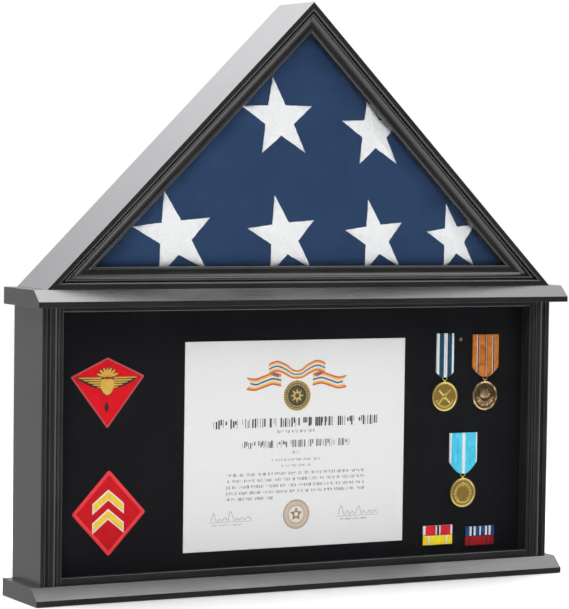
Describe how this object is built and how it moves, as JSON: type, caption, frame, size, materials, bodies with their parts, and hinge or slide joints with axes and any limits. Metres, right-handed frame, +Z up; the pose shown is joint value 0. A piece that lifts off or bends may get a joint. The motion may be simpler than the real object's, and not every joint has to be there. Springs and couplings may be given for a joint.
{
  "type": "folded flag display case",
  "caption": "Free-standing display case: a glazed triangular case holding a folded flag stands on a glazed shadow box with a certificate, patches and medals; both backs come off.",
  "frame": {"origin": "on the underside of the base, in the middle of the overall width and depth", "axes": "+X to the viewer's right when facing the glass, +Y to the rear, +Z up"},
  "size_m": [0.6632, 0.103, 0.652],
  "materials": {
    "painted_wood": "satin black paint on smooth wood",
    "fibreboard": "bare hardboard",
    "liner": "matt black foam board",
    "felt": "short napped black felt",
    "glass": "clear float glass",
    "steel": "zinc plated",
    "button_brass": "pressed brass plate",
    "flag_cloth": "woven navy cotton",
    "paper": "smooth certificate card",
    "patch_cloth": "embroidered twill",
    "medal_gold": "satin gilt",
    "medal_bronze": "antique bronze",
    "ribbon_teal": "ribbed silk ribbon",
    "ribbon_orange": "ribbed silk ribbon",
    "ribbon_blue": "ribbed silk ribbon",
    "bar_red": "ribbed silk ribbon",
    "bar_yellow": "ribbed silk ribbon",
    "bar_blue": "ribbed silk ribbon",
    "bar_maroon": "ribbed silk ribbon"
  },
  "bodies": {
    "case": {"base_board": "painted_wood", "shelf_board": "painted_wood", "side_left": "painted_wood", "side_right": "painted_wood", "stile_left": "painted_wood", "stile_right": "painted_wood", "rail_top": "painted_wood", "rail_bottom": "painted_wood", "display_glass": "glass", "spacer_left": "liner", "spacer_right": "liner", "spacer_top": "liner", "spacer_bottom": "liner", "base_screws": "steel", "shelf_screws": "steel", "case_screws": "steel", "case_floor": "painted_wood", "rafter_left": "painted_wood", "rafter_right": "painted_wood", "face_left": "painted_wood", "face_right": "painted_wood", "face_bottom": "painted_wood", "case_glass": "glass", "glazing_points": "steel", "folded_flag": "flag_cloth", "button_screws": "steel"},
    "flag_back": {"case_back": "fibreboard"},
    "display_door": {"display_back": "fibreboard", "standoff_blocks": "fibreboard", "display_board": "felt", "certificate": "paper", "patch_kite": "patch_cloth", "patch_diamond": "patch_cloth", "lapel_pin": "medal_gold", "medal_1_ribbon": "ribbon_teal", "medal_2_ribbon": "ribbon_orange", "medal_3_ribbon": "ribbon_blue", "bar_red": "bar_red", "bar_yellow": "bar_yellow", "bar_blue": "bar_blue", "bar_maroon": "bar_maroon"},
    "pendant_1": {"medal_1_pendant": "medal_gold"},
    "pendant_2": {"medal_2_pendant": "medal_bronze"},
    "pendant_3": {"medal_3_pendant": "medal_gold"},
    "turn_case_left": {"button_case_left": "button_brass"},
    "turn_case_right": {"button_case_right": "button_brass"},
    "turn_case_bottom": {"button_case_bottom": "button_brass"},
    "turn_shelf_left": {"button_shelf_left": "button_brass"},
    "turn_shelf_right": {"button_shelf_right": "button_brass"},
    "turn_base_left": {"button_base_left": "button_brass"},
    "turn_base_right": {"button_base_right": "button_brass"}
  },
  "joints": [
    {"name": "flag_back_slide", "type": "slide", "parent": "case", "child": "flag_back", "axis": [0, 1, 0], "range_m": [0, 0.06]},
    {"name": "display_back_slide", "type": "slide", "parent": "case", "child": "display_door", "axis": [0, 1, 0], "range_m": [0, 0.09]},
    {"name": "pendant_1_swing", "type": "hinge", "parent": "display_door", "child": "pendant_1", "pos_m": [0.193, -0.00788, 0.2315], "axis": [0, 1, 0], "range_deg": [-20, 20]},
    {"name": "pendant_2_swing", "type": "hinge", "parent": "display_door", "child": "pendant_2", "pos_m": [0.2477, -0.00788, 0.2311], "axis": [0, 1, 0], "range_deg": [-20, 20]},
    {"name": "pendant_3_swing", "type": "hinge", "parent": "display_door", "child": "pendant_3", "pos_m": [0.2195, -0.00788, 0.1189], "axis": [0, 1, 0], "range_deg": [-20, 20]},
    {"name": "case_left_turn", "type": "hinge", "parent": "case", "child": "turn_case_left", "pos_m": [-0.15429, 0.04858, 0.48989], "axis": [0, 1, 0], "range_deg": [0, 90]},
    {"name": "case_right_turn", "type": "hinge", "parent": "case", "child": "turn_case_right", "pos_m": [0.15429, 0.04858, 0.48989], "axis": [0, 1, 0], "range_deg": [0, 90]},
    {"name": "case_bottom_turn", "type": "hinge", "parent": "case", "child": "turn_case_bottom", "pos_m": [0, 0.04858, 0.3411], "axis": [0, 1, 0], "range_deg": [0, 90]},
    {"name": "shelf_left_turn", "type": "hinge", "parent": "case", "child": "turn_shelf_left", "pos_m": [-0.19, 0.04858, 0.32635], "axis": [0, 1, 0], "range_deg": [0, 90]},
    {"name": "shelf_right_turn", "type": "hinge", "parent": "case", "child": "turn_shelf_right", "pos_m": [0.19, 0.04858, 0.32635], "axis": [0, 1, 0], "range_deg": [0, 90]},
    {"name": "base_left_turn", "type": "hinge", "parent": "case", "child": "turn_base_left", "pos_m": [-0.19, 0.04858, 0.00935], "axis": [0, 1, 0], "range_deg": [0, 90]},
    {"name": "base_right_turn", "type": "hinge", "parent": "case", "child": "turn_base_right", "pos_m": [0.19, 0.04858, 0.00935], "axis": [0, 1, 0], "range_deg": [0, 90]}
  ]
}
